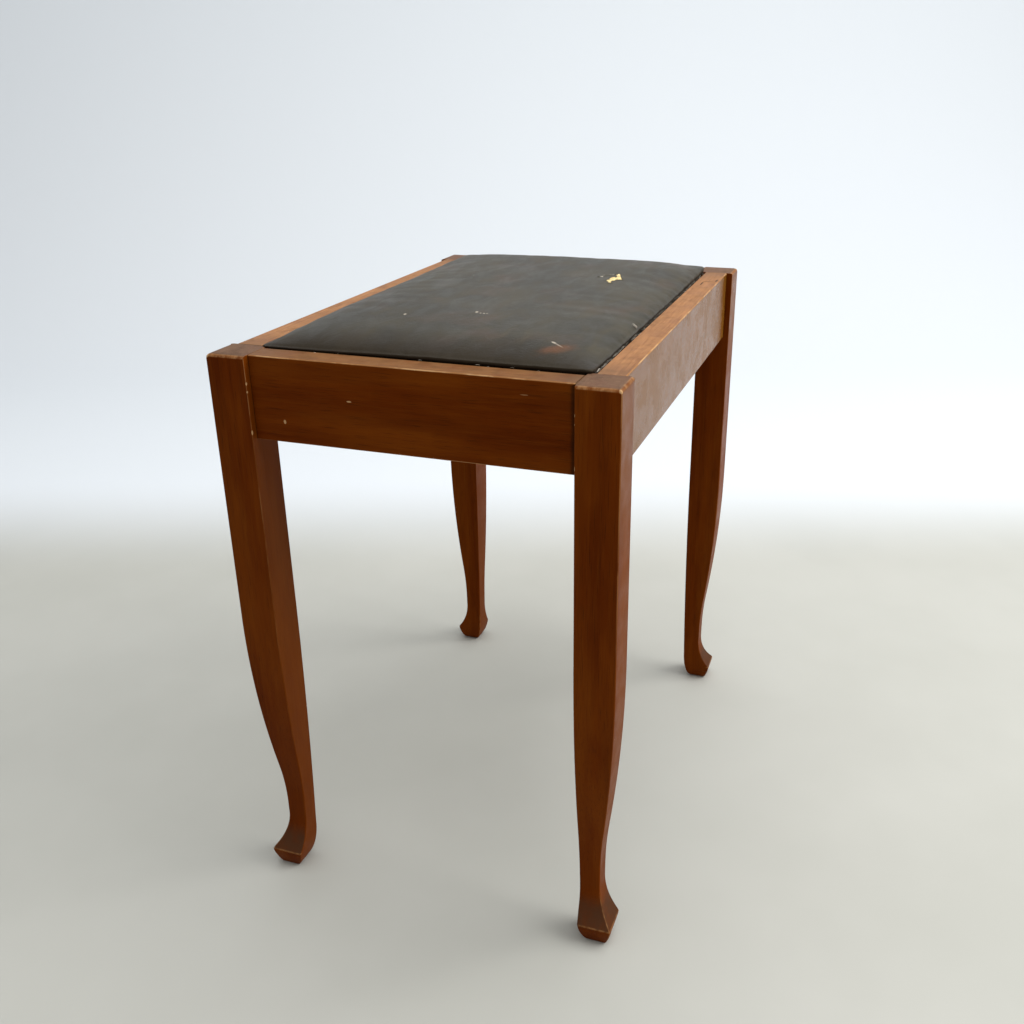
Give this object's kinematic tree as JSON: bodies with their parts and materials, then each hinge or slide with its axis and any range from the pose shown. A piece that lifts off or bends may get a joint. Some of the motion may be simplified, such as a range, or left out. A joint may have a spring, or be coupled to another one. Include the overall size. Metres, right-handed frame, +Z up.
{
  "type": "piano bench",
  "caption": "Fixed-height wooden piano bench: square curved legs with flared toes, flush rails and a worn dark leathercloth drop-in seat that lifts out.",
  "frame": {"origin": "on the floor, at the centre of the bench's plan", "axes": "+X along the length to the right, -Y is the front, +Z up"},
  "size_m": [0.534, 0.37, 0.572],
  "materials": {
    "varnished_wood": "satin varnish, worn at the edges",
    "bare_wood": "bare, sawn",
    "seat_wood": "bare, planed",
    "dowel_wood": "bare, turned",
    "screw_steel": "dull, slotted",
    "tack_steel": "blued",
    "jute_webbing": "woven jute",
    "hessian": "open woven jute",
    "stuffing": "pale yellow loose stuffing",
    "leathercloth": "worn satin leathercloth"
  },
  "bodies": {
    "frame": {"leg_front_left": "varnished_wood", "leg_front_right": "varnished_wood", "leg_back_left": "varnished_wood", "leg_back_right": "varnished_wood", "rail_front": "varnished_wood", "rail_back": "varnished_wood", "rail_left": "varnished_wood", "rail_right": "varnished_wood", "rail_dowels": "dowel_wood", "ledge_front": "bare_wood", "ledge_back": "bare_wood", "ledge_left": "bare_wood", "ledge_right": "bare_wood", "ledge_screws": "screw_steel", "corner_block_front_left": "bare_wood", "corner_block_front_right": "bare_wood", "corner_block_back_left": "bare_wood", "corner_block_back_right": "bare_wood", "corner_block_screws": "screw_steel"},
    "seat": {"seat_member_front": "seat_wood", "seat_member_back": "seat_wood", "seat_member_left": "seat_wood", "seat_member_right": "seat_wood", "seat_member_dowels": "dowel_wood", "webbing_long_front": "jute_webbing", "webbing_long_back": "jute_webbing", "webbing_cross_1": "jute_webbing", "webbing_cross_2": "jute_webbing", "webbing_cross_3": "jute_webbing", "webbing_cross_4": "jute_webbing", "webbing_tacks": "tack_steel", "hessian": "hessian", "hessian_tacks": "tack_steel", "stuffing": "stuffing", "seat_cover": "leathercloth", "cover_tacks": "tack_steel"}
  },
  "joints": [
    {"name": "seat_lift", "type": "slide", "parent": "frame", "child": "seat", "axis": [0, 0, 1], "range_m": [0, 0.09]}
  ]
}
